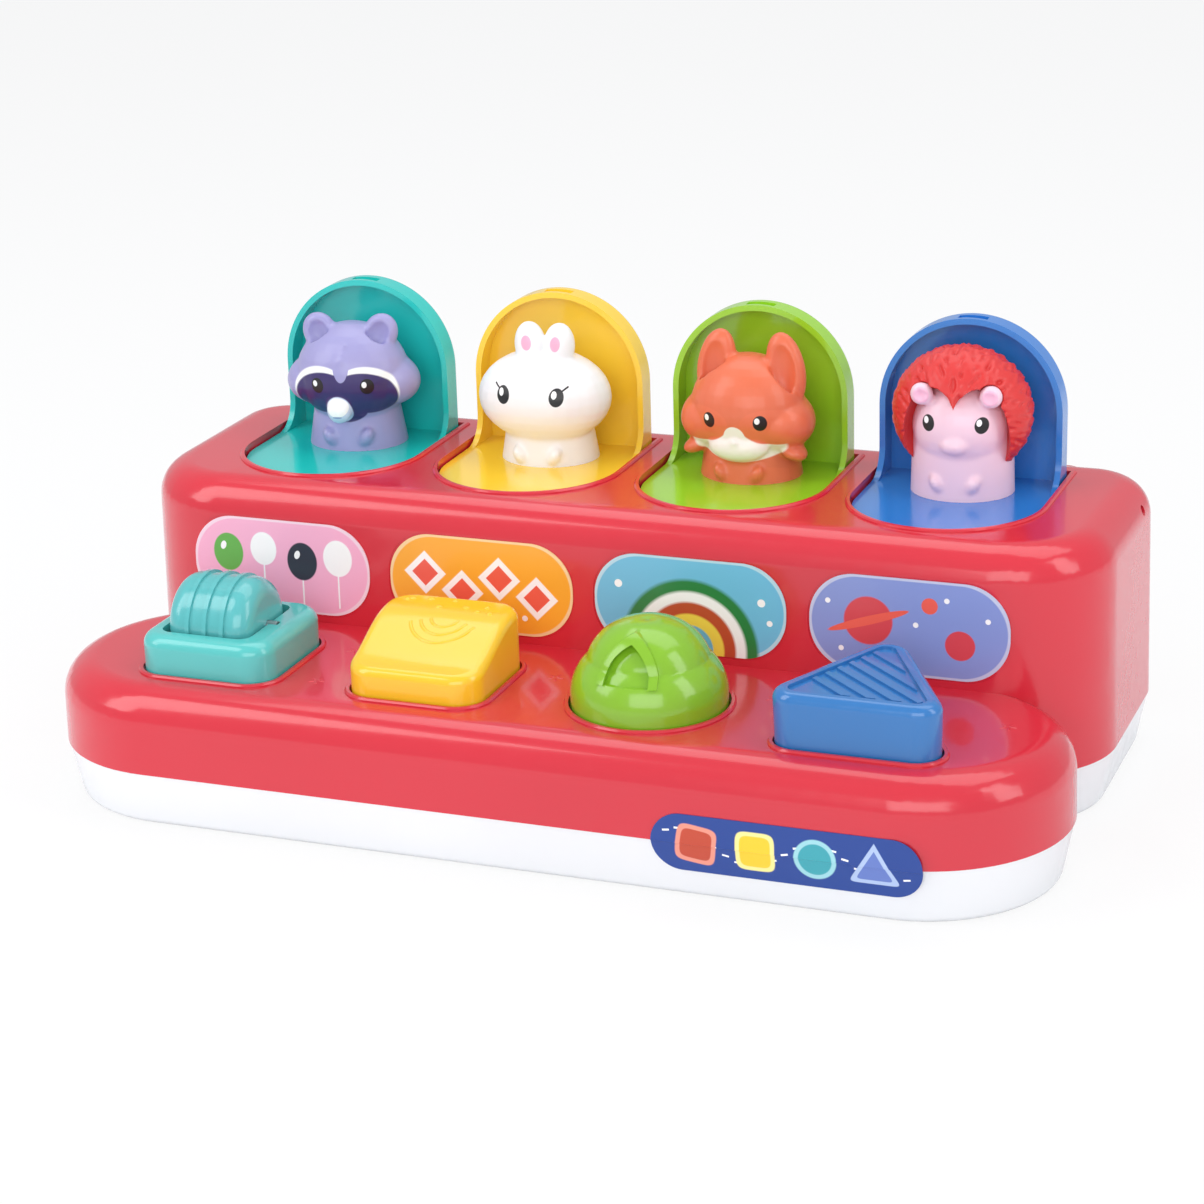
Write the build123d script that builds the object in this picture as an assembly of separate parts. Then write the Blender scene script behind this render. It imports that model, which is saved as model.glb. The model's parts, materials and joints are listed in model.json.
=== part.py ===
from build123d import *
from math import atan2, cos, degrees, hypot, radians, sin, tan
import os

# Peekaboo pop-up toy: four sprung flaps with animals, released by four buttons

os.makedirs("parts", exist_ok=True)

# Driving dimensions, in millimetres
length = 308.0
depth = 167.0
pitch = 66.0
wall = 2.2
draft = 1.0
joint_gap = 0.3
slide_gap = 0.2
press_gap = 0.5

# Heights of the shell
tray_floor = 2.5
tray_wall = 2.8
tray_taper = 11.0
tray_step = 0.3
tray_edge = 2.5
rim_thickness = 1.4
rim_height = 2.5
parting_z = 17.0
deck_z = 42.0
top_z = 84.0
shoulder = 11.0

# Plan of the shell: the origin is the middle of the footprint
deck_depth = 84.0
riser_depth = 96.0
riser_step = 1.0
riser_front_radius = 32.0
riser_rear_radius = 20.0

# Flaps: an arched lid and an arched floor in one L
lid_half = 28.0
lid_straight = 22.0
lid_depth = 9.0
lid_wall = 1.8
lid_panel = 2.0
lid_edge = 2.4
floor_drop = 1.5
floor_thickness = 2.0
rim_sweep = 9.0
lid_setback = 28.0
well_gap = 0.6
well_lip = 1.4
well_lip_height = 0.8

# Hinge
rod_radius = 1.5
running_gap = 0.1
hinge_setback = 2.0
knuckle_radius = 3.4
knuckle_length = 9.7
boss_half = 3.0
boss_radius = 4.5
boss_gap = 0.3
ear_front = 14.0
ear_rear = 8.0

# Buttons
button_front = 37.0
frame_half = 21.3
wedge_half = 20.6
dome_radius = 22.5
corner_radius = 8.5
frame_edge = 4.0
wedge_edge = 3.0
triangle_edge = 3.2
cap_wall = 2.0
button_gap = 0.7
button_travel = 5.0
frame_rise = 12.0
wedge_front_rise = 9.0
wedge_back_rise = 18.5
wedge_crest = 8.0
dome_rise = 25.0
dome_waist_rise = 14.5
dome_waist_share = 0.78
niche_half = 6.6
niche_foot = 11.5
niche_rise = 22.0
niche_depth = 1.6
niche_frame = 2.4
triangle_rise = 17.5
triangle_corner = 7.0
triangle_base = 16.3
panel_inset = 4.2
panel_depth = 0.9
panel_ribs = 6
panel_rib_pitch = 4.8
panel_rib_width = 1.7
panel_rib_angle = 47.0
flange = 2.0
lip = 1.4
lip_height = 0.8

# Roller in the teal frame
roller_radius = 14.2
roller_half = 13.6
roller_shift = 1.3
roller_round = 5.5
roller_rib = 0.7
roller_rib_width = 2.8
roller_rib_pitch = 5.6
roller_side_gap = 0.9
roller_axis_drop = 0.9
pin_seat = 2.4

# Button carriers and latch sliders
carrier_half = 22.0
carrier_thickness = 2.0
carrier_drop = 6.5
leg_inner = 13.2
leg_thickness = 2.0
trunnion_radius = 1.5
trunnion_z = 18.5
latch_travel = 3.5
slider_thickness = 3.0
neck_half = 5.0
arm_thickness = 2.0
nose_length = 1.9
nose_height = 2.0
catch_half = 4.0
catch_play = 0.5
catch_depth = 1.1
window_half = 8.0
tower_radius = 3.0
spring_radius = 4.4
spring_wire = 0.9
spring_seat = 4.5
torsion_radius = 2.7
torsion_wire = 0.8
torsion_span = 10.0
torsion_leg = 10.0
keeper_half = 4.0
keeper_thickness = 2.0
catch_gap = 0.45
gusset_length = 4.0
gusset_height = 16.0

# Labels
label_length = 59.0
label_height = 29.0
label_round = 13.5
label_z = 59.0
label_thickness = 0.25
label_recess = 0.3
front_label_length = 77.0
front_label_height = 17.4
front_label_x = 84.5

# Fasteners
screw_radius = 1.5
screw_head_radius = 3.2
screw_head = 2.0
drive_slot = 0.8
screw_boss = 4.2
boss_foot = 6.0

# Figures
figure_back = 8.0
head_lead = 3.0
ear_half_depth = 3.6
seat_gap = 0.05
foot_round = 1.5
foot_bulge_rise = 2.5
foot_draft = 0.6
foot_rise = 6.0
figure_bore_rise = 11.0

# Raccoon
raccoon_foot_radius = 14.4
raccoon_neck_radius = 11.5
raccoon_neck_rise = 14.0
raccoon_head_rise = 23.4
raccoon_head_half_width = 21.0
raccoon_head_half_depth = 15.3
raccoon_head_half_height = 16.2
raccoon_ear_spread = 11.8
raccoon_ear_rise = 36.5
raccoon_ear_half_width = 5.6
raccoon_ear_half_height = 6.6
raccoon_ear_tilt = 20
muzzle_lead = 16.6
muzzle_rise = 14.6
muzzle_radius = 4.6

# Rabbit
rabbit_foot_radius = 14.4
rabbit_neck_radius = 12.0
rabbit_neck_rise = 12.0
rabbit_head_rise = 20.4
rabbit_head_half_width = 21.2
rabbit_head_half_depth = 15.8
rabbit_head_half_height = 14.6
rabbit_ear_spread = 5.0
rabbit_ear_rise = 36.0
rabbit_ear_half_width = 5.4
rabbit_ear_half_height = 8.6
rabbit_ear_tilt = 6

# Fox
fox_foot_radius = 14.6
fox_neck_radius = 12.5
fox_neck_rise = 12.0
fox_head_rise = 21.8
fox_head_half_width = 20.8
fox_head_half_depth = 15.0
fox_head_half_height = 16.2
fox_ear_spread = 11.2
fox_ear_rise = 34.5
fox_ear_half_width = 6.2
fox_ear_half_height = 11.2
fox_ear_tilt = 12

# Hedgehog
hedgehog_foot_radius = 14.6
hedgehog_neck_radius = 12.8
hedgehog_neck_rise = 16.0
hedgehog_head_rise = 22.0
hedgehog_head_half_width = 14.8
hedgehog_head_half_depth = 13.5
hedgehog_head_half_height = 14.0
hedgehog_ear_spread = 10.6
hedgehog_ear_lead = 9.8
hedgehog_ear_rise = 31.0
hedgehog_ear_radius = 4.3
spines_rise = 25.6
spines_half_width = 21.2
spines_half_depth = 15.6
spines_half_height = 19.0
spines_foot_rise = 11.0
spines_front_lead = 9.4
spines_back = 4.5

# Values worked out from the driving dimensions
front_y = -depth / 2
rear_y = depth / 2
lid_y = rear_y - lid_setback
riser_front_y = rear_y - riser_depth
deck_y = front_y + deck_depth / 2
button_y = front_y + button_front
floor_z = top_z - floor_drop
lid_height = lid_half + lid_straight
hinge_y = lid_y + hinge_setback
hinge_z = top_z - lid_depth + hinge_setback
floor_depth = floor_z + lid_height - hinge_z - hinge_setback
arch_y = lid_y - floor_depth + lid_half
heel = hypot(lid_y + lid_depth - hinge_y, floor_z - floor_thickness - hinge_z)
well_rear_y = hinge_y + heel + well_gap
deck_under = deck_z - wall
cap_flange_top = deck_under - press_gap
carrier_top = cap_flange_top - carrier_drop
roller_z = deck_z + frame_rise - roller_axis_drop
slot_half_x = roller_half + roller_side_gap
slot_half_y = roller_radius + roller_rib + roller_side_gap
roller_x = -pitch * 1.5 - roller_shift
pin_half = slot_half_x + pin_seat
flap_x = [pitch * (i - 1.5) for i in range(4)]
ridge_x = [pitch * (i - 2) for i in range(5)]
figure_y = lid_y - figure_back
nose_z = hinge_z
lid_sweep = hypot(floor_z + lid_height - hinge_z, lid_y + lid_depth - hinge_y)
arm_rear_y = hinge_y - lid_sweep - catch_gap - nose_length
guide_front = riser_front_y - 9
guide_rear = riser_front_y + 6
keeper_y = riser_front_y - 2
keeper_seat = trunnion_z + slider_thickness / 2 + slide_gap
tower_top = carrier_top - carrier_thickness - button_travel - 1.3
tray_lean = (parting_z - boss_foot) * tan(radians(tray_taper))
screw_rear_y = rear_y - tray_step - tray_wall - tray_lean - screw_boss - joint_gap


def at_y(y):
    """Upright sketch plane across the toy, facing the front, with x and z as its own axes."""
    return Plane.XZ.offset(-y)


def at_x(x):
    """Upright sketch plane along the depth, with y and z as its own axes."""
    return Plane.YZ.offset(x)


def block(x0, x1, y0, y1, z0, z1):
    """A rectangular block between two corners."""
    middle = Pos((x0 + x1) / 2, (y0 + y1) / 2, (z0 + z1) / 2)
    return middle * Box(x1 - x0, y1 - y0, z1 - z0)


def along_x(outline, x0, x1):
    """A solid that runs along x on an outline of y and z."""
    return extrude(at_x(x0) * outline, x1 - x0, dir=(1, 0, 0))


def along_y(outline, y0, y1):
    """A solid that runs along y on an outline of x and z."""
    return extrude(at_y(y0) * outline, y1 - y0, dir=(0, 1, 0))


def post(x, y, z0, z1, radius):
    """An upright cylinder."""
    return Pos(x, y, (z0 + z1) / 2) * Cylinder(radius, z1 - z0)


def axle(x0, x1, y, z, radius):
    """A cylinder that lies along x."""
    return Pos((x0 + x1) / 2, y, z) * Rot(0, 90, 0) * Cylinder(radius, x1 - x0)


def riser_plan(inset):
    """Outline of the riser: larger corner radii in front than behind."""
    half = length / 2 - riser_step - inset
    middle_y = (riser_front_y + rear_y) / 2
    plan = Pos(0, middle_y) * Rectangle(2 * half, riser_depth - 2 * inset)
    rows = plan.vertices().group_by(Axis.Y)
    plan = fillet(rows[0], riser_front_radius - inset)
    return fillet(plan.vertices().group_by(Axis.Y)[-1], riser_rear_radius - inset)


def deck_plan(inset):
    """Outline of the deck: two half circles joined by straight sides."""
    return Pos(0, deck_y) * SlotOverall(length - 2 * inset, deck_depth - 2 * inset)


def raised(plan, low, high, round_over):
    """A drafted block on a plan with its top edge rounded."""
    body = extrude(Pos(0, 0, low) * plan, high - low, taper=draft)
    return fillet(body.faces().sort_by(Axis.Z)[-1].edges(), round_over)


def stepped_block(inset):
    """The riser and the deck together, drawn in by one inset all over."""
    riser = raised(riser_plan(inset), parting_z, top_z - inset, shoulder - inset)
    deck = raised(deck_plan(inset), parting_z, deck_z - inset, shoulder - inset)
    return riser + deck


def well_plan(x, grow):
    """Arched outline of one flap well, grown by a margin."""
    half = lid_half + grow
    straight = well_rear_y + grow - well_gap - arch_y
    side = Pos(x, arch_y + straight / 2) * Rectangle(2 * half, straight)
    return side + Pos(x, arch_y) * Circle(half)


def triangle_plan(radius):
    """The blue button's outline: a triangle swept by a circle."""
    base = triangle_base
    corners = [(-base, -base), (base, -base), (0, base)]
    return offset(Polygon(*corners, align=None), radius, kind=Kind.ARC)


def button_plan(index, grow):
    """Outline of one button, counted from the left, grown by a margin."""
    if index == 0:
        side = 2 * (frame_half + grow)
        return RectangleRounded(side, side, corner_radius + grow)
    if index == 1:
        side = 2 * (wedge_half + grow)
        return RectangleRounded(side, side, corner_radius + grow)
    if index == 2:
        return Circle(dome_radius + grow)
    return triangle_plan(triangle_corner + grow)


def placed(index, z):
    """Where a button's own middle lies."""
    return Pos(flap_x[index], button_y, z)


def label_plane(x, z, out):
    """A plane on the drafted riser front, moved out along its normal."""
    slope = radians(draft)
    y = riser_front_y + (z - parting_z) * tan(slope)
    normal = (0, -cos(slope), sin(slope))
    return Plane(origin=(x, y, z), x_dir=(1, 0, 0), z_dir=normal).offset(out)


def screw_places():
    """Where the tray screws stand: between the buttons and along the back."""
    front = [(x, button_y) for x in ridge_x[1:4]]
    back = [(x, screw_rear_y) for x in (ridge_x[0] + 8, 0, ridge_x[4] - 8)]
    return front + back


def boss_top(y):
    """Underside of the shell over a screw boss."""
    return deck_under if y < riser_front_y else top_z - wall


def screw_boss_tubes():
    """Hollow pillars that take the tray screws."""
    tubes = []
    for x, y in screw_places():
        tubes.append(post(x, y, boss_foot, boss_top(y) + 1, screw_boss))
    return tubes


def hinge_bosses():
    """Hangers under the riser top that carry the hinge rod."""
    hangers = []
    for x in ridge_x:
        low, high = hinge_y - boss_radius, hinge_y + boss_radius
        cheek = block(x - boss_half, x + boss_half, low, high, hinge_z, top_z - 1)
        hangers.append(cheek)
        hangers.append(axle(x - boss_half, x + boss_half, hinge_y, hinge_z, boss_radius))
    return hangers


def top_housing():
    """The red shell with its wells, collars, bosses and label recesses."""
    shell = stepped_block(0) - stepped_block(wall)
    for x in flap_x:
        edge = extrude(Pos(0, 0, top_z - 1) * well_plan(x, well_gap + well_lip), 1 + well_lip_height)
        shell += chamfer(top_edges(edge), well_lip_height * 0.6)
    for index in range(4):
        edge = extrude(placed(index, deck_z - 1) * button_plan(index, button_gap + lip), 1 + lip_height)
        shell += chamfer(top_edges(edge), lip_height * 0.6)
    for piece in hinge_bosses() + screw_boss_tubes():
        shell += piece
    for x in flap_x:
        shell -= extrude(Pos(0, 0, top_z - 8) * well_plan(x, well_gap), 12)
        recess = label_plane(x, label_z, -label_recess)
        shell -= extrude(recess * RectangleRounded(label_length + 1, label_height + 1, label_round), 2)
    for index in range(4):
        shell -= extrude(placed(index, deck_z - 8) * button_plan(index, button_gap), 12)
    shell -= axle(ridge_x[0] - 20, ridge_x[4] + 20, hinge_y, hinge_z, rod_radius + running_gap / 2)
    for x, y in screw_places():
        shell -= post(x, y, boss_foot - 1, boss_foot + 16, screw_radius + running_gap)
    return shell


def tray_block(inset, bottom):
    """The tray's stepped block, tapered inward towards the bottom."""
    height = parting_z - bottom
    sides = []
    for plan in (riser_plan(inset), deck_plan(inset)):
        sides.append(extrude(Pos(0, 0, parting_z) * plan, height, dir=(0, 0, -1), taper=tray_taper))
    return sides[0] + sides[1]


def slider_guides(x):
    """Ribs of the tray that carry and steer one latch slider."""
    under = trunnion_z - slider_thickness / 2 - slide_gap
    over = trunnion_z + slider_thickness / 2 + slide_gap
    side = neck_half + slide_gap
    ribs = [block(x - 1, x + 1, guide_front, guide_rear, 1, under)]
    for sign in (-1, 1):
        inner, outer = sorted((x + sign * side, x + sign * (side + 2)))
        ribs.append(block(inner, outer, guide_front, guide_rear, 1, over))
        near, far = sorted((x + sign * 9, x + sign * 11))
        ribs.append(block(near, far, button_y - 9, button_y + 9, 1, under))
    return ribs


def base_tray():
    """The white tray with its locating rim, posts, guides and screw pillars."""
    solid = tray_block(tray_step, 0)
    solid = fillet(solid.faces().sort_by(Axis.Z)[0].edges(), tray_edge)
    tray = solid - tray_block(tray_step + tray_wall, tray_floor)
    outer = riser_plan(wall + joint_gap) + deck_plan(wall + joint_gap)
    inset = wall + joint_gap + rim_thickness
    inner = riser_plan(inset) + deck_plan(inset)
    tray += extrude(Pos(0, 0, parting_z - 3) * (outer - inner), 3 + rim_height)
    for x in flap_x:
        for rib in slider_guides(x):
            tray += rib
        tray += post(x, button_y, 1, spring_seat, spring_radius + 1)
        tray += post(x, button_y, 1, tower_top, tower_radius)
    for x in ridge_x[1:4]:
        tray += post(x, keeper_y, 1, keeper_seat, screw_boss)
        tray -= post(x, keeper_y, keeper_seat - 10, keeper_seat + 1, screw_radius + running_gap)
    for x, y in screw_places():
        tray += post(x, y, 1, boss_foot, screw_boss + 0.6)
        tray -= post(x, y, -1, boss_foot + 1, screw_radius + 0.2)
        tray -= post(x, y, -1, screw_head + 0.3, screw_head_radius + 0.4)
    return tray


def keeper_bar():
    """The strip that keeps the four sliders down on their guides."""
    half = flap_x[3] + neck_half + 4
    bar = Pos(0, keeper_y) * SlotOverall(2 * half, 2 * keeper_half)
    bar = extrude(Pos(0, 0, keeper_seat) * bar, keeper_thickness)
    for x in ridge_x[1:4]:
        bar -= post(x, keeper_y, keeper_seat - 1, keeper_seat + 4, screw_radius + 0.2)
    return bar


def screw(x, y, under_head, tip, head_down):
    """A pan-head screw: its shank runs from under the head to the tip."""
    away = -1 if head_down else 1
    z0, z1 = sorted((under_head, tip))
    h0, h1 = sorted((under_head, under_head + away * screw_head))
    head = post(x, y, h0, h1, screw_head_radius)
    slot = Box(2 * screw_head_radius, drive_slot, screw_head)
    slot_z = under_head + away * screw_head
    return head + post(x, y, z0, z1, screw_radius) - Pos(x, y, slot_z) * slot


def base_screws():
    """The six screws that hold the tray to the shell."""
    under = screw_head + 0.3
    return Compound(children=[screw(x, y, under, under + 16, True) for x, y in screw_places()])


def keeper_screws():
    """The three screws on the keeper bar."""
    under = keeper_seat + keeper_thickness
    return Compound(children=[screw(x, keeper_y, under, under - 10, False) for x in ridge_x[1:4]])


def hinge_rod():
    """One steel rod through all bosses and knuckles."""
    half = ridge_x[4] + boss_half + 1
    rod = axle(-half, half, hinge_y, hinge_z, rod_radius)
    return chamfer(rod.edges().filter_by(GeomType.CIRCLE), 0.4)


def arch_face(x, half, low):
    """Arched outline of a lid in the upright plane, from a low edge to the crown."""
    spring_line = floor_z + lid_straight
    sides = [
        Line((x - half, low), (x + half, low)),
        Line((x + half, low), (x + half, spring_line)),
        ThreePointArc((x + half, spring_line), (x, spring_line + half), (x - half, spring_line)),
        Line((x - half, spring_line), (x - half, low)),
    ]
    return make_face(sides)


def lid_tray(x):
    """The upright tray: arched panel, rim, and the sweep of the rim into the floor."""
    low = floor_z - floor_thickness
    front = lid_y - rim_sweep
    back = lid_y + lid_depth
    body = along_y(arch_face(x, lid_half, low), front, back)
    body = fillet(body.faces().sort_by(Axis.Y)[-1].edges(), lid_edge)
    body -= along_y(arch_face(x, lid_half - lid_wall, floor_z), front - 1, back - lid_panel)
    crown = floor_z + lid_height + 1
    body -= block(x - 40, x + 40, lid_y - rim_sweep, lid_y, floor_z + rim_sweep, crown)
    body -= axle(x - 40, x + 40, lid_y - rim_sweep, floor_z + rim_sweep, rim_sweep)
    return body


def knuckles(x):
    """Two hinge knuckles under the floor, with the stop ears beside them."""
    parts = []
    outer_x = pitch / 2 - boss_half - boss_gap
    inner = outer_x - knuckle_length
    under = floor_z - floor_thickness
    for sign in (-1, 1):
        x0, x1 = sorted((x + sign * inner, x + sign * outer_x))
        parts.append(axle(x0, x1, hinge_y, hinge_z, knuckle_radius))
        w0, w1 = sorted((x + sign * (inner + 0.5), x + sign * (lid_half - 0.5)))
        web = 0.8 * knuckle_radius
        parts.append(block(w0, w1, hinge_y - web, hinge_y + web, hinge_z, under + 0.5))
        e0, e1 = sorted((x + sign * (lid_half - 2), x + sign * outer_x))
        ear_top = top_z - wall - joint_gap
        parts.append(block(e0, e1, lid_y - ear_front, lid_y - ear_rear, under - 1.5, ear_top))
    return parts


def flap(x):
    """One flap: floor, lid tray, knuckles, stop ears and the catch window."""
    low = floor_z - floor_thickness
    rear = lid_y + lid_depth - lid_edge
    floor_plan = Pos(x, (rear + arch_y) / 2) * Rectangle(2 * lid_half, rear - arch_y)
    floor_plan += Pos(x, arch_y) * Circle(lid_half)
    body = extrude(Pos(0, 0, low) * floor_plan, floor_thickness) + lid_tray(x)
    for piece in knuckles(x):
        body += piece
    body -= axle(x - 40, x + 40, hinge_y, hinge_z, rod_radius + running_gap)
    crown = floor_z + lid_height
    half = catch_half + catch_play
    catch_y = hinge_y + nose_z - hinge_z - catch_play
    catch_top = catch_y + nose_height + 2 * catch_play
    body -= block(x - half, x + half, catch_y, catch_top, crown - catch_depth, crown + 1)
    body -= post(x, figure_y, low - 1, floor_z + 1, screw_radius + 0.2)
    return body


def figure_screw(x):
    """The screw under a flap floor that holds its figure."""
    under = floor_z - floor_thickness
    return screw(x, figure_y, under, under + 12, True)


def sleeve(radius, wire, height):
    """The space that a close coil takes up, as a tube on the origin."""
    tube = Circle(radius + wire / 2) - Circle(radius - wire / 2)
    return extrude(tube, height)


def flap_spring(x):
    """Torsion spring on the hinge rod: one leg lies under the floor and one hangs down."""
    low_x = x - torsion_span / 2
    coil = sleeve(torsion_radius, torsion_wire, torsion_span)
    body = Pos(low_x, hinge_y, hinge_z) * Rot(0, 90, 0) * coil
    half = torsion_wire / 2
    low_y = hinge_y + torsion_radius
    body += block(low_x, low_x + torsion_wire, low_y - half, low_y + half, hinge_z - torsion_leg, hinge_z)
    high_x = x + torsion_span / 2
    high_z = hinge_z + torsion_radius
    high_leg = block(high_x - torsion_wire, high_x, hinge_y - torsion_leg, hinge_y, high_z - half, high_z + half)
    return body + high_leg


def button_spring(x):
    """Compression spring between the tray post and the carrier."""
    high = carrier_top - carrier_thickness
    return Pos(x, button_y, spring_seat) * sleeve(spring_radius, spring_wire, high - spring_seat)


def carrier(x):
    """Plate under a button cap, with two legs that hold the cam slots."""
    under = carrier_top - carrier_thickness
    plan = Pos(x, button_y) * RectangleRounded(2 * carrier_half, 2 * carrier_half, 5)
    body = extrude(Pos(0, 0, under) * plan, carrier_thickness)
    low = trunnion_z - 6
    for sign in (-1, 1):
        x0, x1 = sorted((x + sign * leg_inner, x + sign * (leg_inner + leg_thickness)))
        body += block(x0, x1, button_y - 9, button_y + 6, low, under + 0.5)
    rise = atan2(button_travel, -latch_travel)
    run = hypot(button_travel, latch_travel)
    middle = (button_y - latch_travel / 2, trunnion_z + button_travel / 2)
    slot_width = 2 * (trunnion_radius + running_gap)
    slot = Pos(*middle) * Rot(0, 0, degrees(rise)) * SlotCenterToCenter(run, slot_width)
    return body - along_x(slot, x - 30, x + 30)


def latch_slider(x):
    """Flat bar with trunnions at the cam slots and an arm that reaches up to the lid."""
    low = trunnion_z - slider_thickness / 2
    high = trunnion_z + slider_thickness / 2
    frame = leg_inner - 2 * slide_gap
    reach = leg_inner + leg_thickness
    body = block(x - frame, x + frame, button_y - 10, button_y + 15, low, high)
    body += axle(x - reach, x + reach, button_y, trunnion_z, trunnion_radius)
    body -= block(x - window_half, x + window_half, button_y - 7, button_y + 12, low - 1, high + 1)
    body += block(x - neck_half, x + neck_half, button_y + 14, arm_rear_y, low, high)
    arm_front_y = arm_rear_y - arm_thickness
    body += block(x - catch_half, x + catch_half, arm_front_y, arm_rear_y, low, nose_z + nose_height)
    heel_y = arm_rear_y - 1
    gusset = Polygon(
        (heel_y - gusset_length, high - 0.5),
        (heel_y, high - 0.5),
        (heel_y, high + gusset_height),
        (heel_y - gusset_length, high),
        align=None,
    )
    body += along_x(gusset, x - 1, x + 1)
    nose_top = nose_z + nose_height
    nose = Polygon(
        (arm_rear_y - 0.5, nose_z),
        (arm_rear_y + nose_length, nose_z),
        (arm_rear_y + nose_length, nose_z + 0.6),
        (arm_rear_y - 0.5, nose_top),
        align=None,
    )
    return body + along_x(nose, x - catch_half, x + catch_half)


def cap_blank(index, rise):
    """A button body from the carrier up to its full height, with the retaining flange."""
    body = extrude(placed(index, carrier_top) * button_plan(index, 0), deck_z + rise - carrier_top)
    low = cap_flange_top - flange
    return body, extrude(placed(index, low) * button_plan(index, button_gap + flange), flange)


def cap_hollow(index, rise):
    """The space inside a button cap, open at the bottom."""
    height = deck_z + rise - cap_wall - carrier_top
    return extrude(placed(index, carrier_top) * button_plan(index, -cap_wall), height)


def top_edges(body):
    """Outline edges of the highest face."""
    return body.faces().sort_by(Axis.Z)[-1].edges()


def roller_frame():
    """Teal frame with a slot for the roller and blind holes for its pin."""
    body, skirt = cap_blank(0, frame_rise)
    body = fillet(top_edges(body), frame_edge) + skirt
    slot = Pos(roller_x, button_y, carrier_top - 1) * RectangleRounded(2 * slot_half_x, 2 * slot_half_y, 4)
    body -= extrude(slot, frame_rise + deck_z - carrier_top + 2)
    bore = rod_radius + running_gap / 2
    reach = pin_half + joint_gap
    return body - axle(roller_x - reach, roller_x + reach, button_y, roller_z, bore)


def roller_pin():
    """Steel pin across the frame."""
    return axle(roller_x - pin_half, roller_x + pin_half, button_y, roller_z, rod_radius)


def roller():
    """Hollow-ended drum with raised ribs round it."""
    profile = RectangleRounded(2 * roller_half, 2 * roller_radius, roller_round)
    for step in (-1, 0, 1):
        crest = roller_radius + roller_rib
        foot = roller_rib_width / 2
        top = foot - roller_rib
        rib = Polygon((-foot, 0), (foot, 0), (top, crest), (-top, crest), align=None)
        profile += Pos(step * roller_rib_pitch) * rib
    upper = profile & Pos(0, roller_radius) * Rectangle(3 * roller_half, 2 * roller_radius)
    drum = revolve(upper, Axis.X)
    drum -= axle(-roller_half - 1, roller_half + 1, 0, 0, rod_radius + running_gap)
    return Pos(roller_x, button_y, roller_z) * drum


def wedge_button():
    """Yellow button whose top sweeps up from a low front to a high crest at the back."""
    body, skirt = cap_blank(1, wedge_back_rise)
    front_z = deck_z + wedge_front_rise
    back_z = deck_z + wedge_back_rise
    y0 = button_y - wedge_half - 1
    y1 = button_y + wedge_half - wedge_crest
    y2 = button_y + wedge_half + 1
    curve = Spline((y0, front_z), (y1, back_z), tangents=[(1, 0.02), (1, 0)])
    rim = Polyline((y1, back_z), (y2, back_z), (y2, back_z + 9), (y0, back_z + 9), (y0, front_z))
    body -= along_x(make_face([curve, rim]), flap_x[1] - pitch / 2, flap_x[1] + pitch / 2)
    upper = [face for face in body.faces() if face.normal_at().Z > 0.3]
    body = fillet(outline_edges(ShapeList(upper)), wedge_edge)
    return body + skirt - cap_hollow(1, wedge_front_rise - 1)


def outline_edges(faces):
    """The edges that only one face of a group has."""
    edges = ShapeList(edge for face in faces for edge in face.edges())
    return ShapeList(edge for edge in edges if sum(edge.is_same(other) for other in edges) == 1)


def dome_profile(shrink):
    """Half section of the green button: a bulging skirt and an upper dome."""
    low = carrier_top
    r = dome_radius - shrink
    waist = dome_radius * dome_waist_share - shrink
    waist_z = deck_z + dome_waist_rise
    crown = deck_z + dome_rise - shrink
    outline = [
        Line((0, low), (r, low)),
        Line((r, low), (r, deck_z + 4)),
        ThreePointArc((r, deck_z + 4), (r - 1.6, deck_z + 10), (waist, waist_z)),
        ThreePointArc((waist, waist_z), (waist * 0.72, waist_z + (crown - waist_z) * 0.68), (0, crown)),
        Line((0, crown), (0, low)),
    ]
    return make_face(outline)


def dome_solid(shrink):
    """The dome as a turned body in its place."""
    turned = revolve(Plane.XZ * dome_profile(shrink), Axis.Z)
    return Pos(flap_x[2], button_y, 0) * turned


def ogive(grow):
    """Pointed arch outline of the niche, x across and z up."""
    half = niche_half + grow
    base = deck_z + niche_foot
    crown = deck_z + niche_rise + grow
    middle = base + (crown - base) * 0.55
    sides = [
        Line((-half, base), (half, base)),
        ThreePointArc((half, base), (half * 0.78, middle), (0, crown)),
        ThreePointArc((0, crown), (-half * 0.78, middle), (-half, base)),
    ]
    return make_face(sides)


def dome_button():
    """Green button with a framed pointed niche in its front."""
    body = dome_solid(0)
    x = flap_x[2]
    front, back = button_y - dome_radius - 5, button_y - dome_radius / 4
    niche = along_y(Pos(x) * ogive(0), front, back)
    frame = along_y(Pos(x) * ogive(niche_frame), front, back) & dome_solid(-0.7)
    body = body + frame - (niche - dome_solid(niche_depth))
    low = cap_flange_top - flange
    skirt = extrude(placed(2, low) * Circle(dome_radius + button_gap + flange), flange)
    return body + skirt - dome_solid_hollow()


def dome_solid_hollow():
    """The space inside the green button."""
    height = deck_z + 9 - carrier_top
    return extrude(placed(2, carrier_top) * Circle(dome_radius - 2 * cap_wall - 2), height)


def triangle_button():
    """Blue button with slanting ribs in a shallow triangular panel."""
    body, skirt = cap_blank(3, triangle_rise)
    body = fillet(top_edges(body), triangle_edge)
    panel_z = deck_z + triangle_rise - panel_depth
    body -= extrude(placed(3, panel_z) * triangle_plan(triangle_corner - panel_inset), 2)
    field_plan = triangle_plan(triangle_corner - panel_inset - 1)
    field = extrude(placed(3, panel_z - 1) * field_plan, panel_depth + 0.8)
    for step in range(panel_ribs):
        along = (step - panel_ribs / 2 + 0.5) * panel_rib_pitch / cos(radians(panel_rib_angle))
        rib = Pos(along, -panel_inset) * Rot(0, 0, panel_rib_angle) * Rectangle(panel_rib_width, pitch)
        body += extrude(placed(3, panel_z - 0.5) * rib, panel_depth + 0.3) & field
    return body + skirt - cap_hollow(3, triangle_rise - 1.5)


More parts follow.
